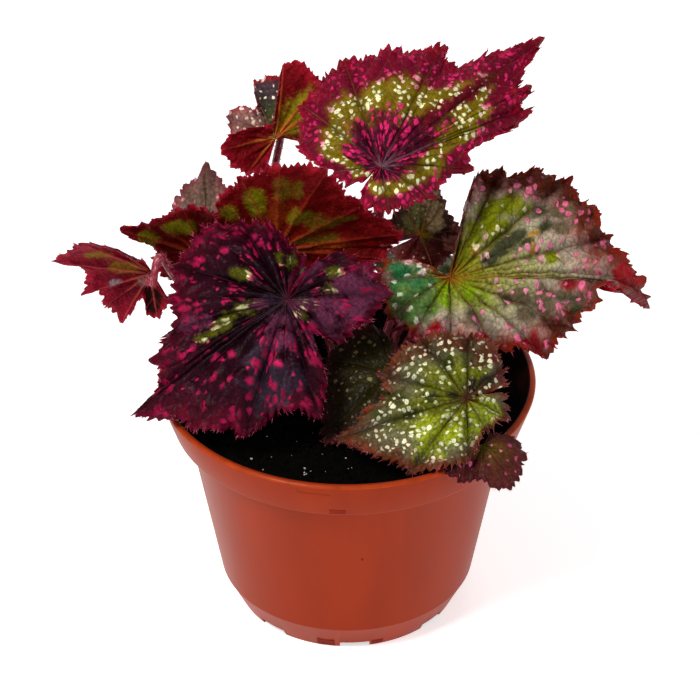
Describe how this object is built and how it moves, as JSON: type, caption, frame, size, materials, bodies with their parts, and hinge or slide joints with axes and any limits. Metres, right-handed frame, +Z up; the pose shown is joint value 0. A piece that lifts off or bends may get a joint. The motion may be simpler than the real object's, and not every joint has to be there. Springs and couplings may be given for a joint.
{
  "type": "potted rex begonia",
  "caption": "Rex begonia house plant with large hairy, spotted leaves in purple, green and red, standing in a round plastic nursery pot of peat.",
  "frame": {"origin": "centre of the pot's flat underside", "axes": "+Z up through the pot's axis, +X to the right towards the leaf with the hanging tip, -Y towards the two small leaves over the front of the rim"},
  "size_m": [0.2384, 0.1678, 0.222],
  "materials": {
    "pot_plastic": "satin",
    "peat": "rough",
    "stem_bark": "rough",
    "stalk_skin": "satin",
    "leaf_purple": "satin",
    "leaf_green": "satin",
    "leaf_red": "satin",
    "leaf_brown": "satin"
  },
  "bodies": {
    "root": {"pot": "pot_plastic", "soil": "peat", "crown": "stem_bark", "leaf_top": "leaf_purple", "leaf_right_large": "leaf_green", "leaf_front_speckled": "leaf_green", "leaf_front_small": "leaf_brown", "leaf_left_purple": "leaf_purple", "leaf_back_red": "leaf_red", "leaf_left_red": "leaf_red", "leaf_far_left": "leaf_red", "leaf_back_left": "leaf_brown", "leaf_top_left_curled": "leaf_red", "leaf_back_right": "leaf_brown", "leaf_low_shaded": "leaf_green", "leaf_rear_left": "leaf_purple", "leaf_rear_right": "leaf_green", "stalk_top": "stalk_skin", "stalk_right_large": "stalk_skin", "stalk_front_speckled": "stalk_skin", "stalk_front_small": "stalk_skin", "stalk_left_purple": "stalk_skin", "stalk_back_red": "stalk_skin", "stalk_left_red": "stalk_skin", "stalk_far_left": "stalk_skin", "stalk_back_left": "stalk_skin", "stalk_top_left_curled": "stalk_skin", "stalk_back_right": "stalk_skin", "stalk_low_shaded": "stalk_skin", "stalk_rear_left": "stalk_skin", "stalk_rear_right": "stalk_skin"}
  },
  "joints": []
}
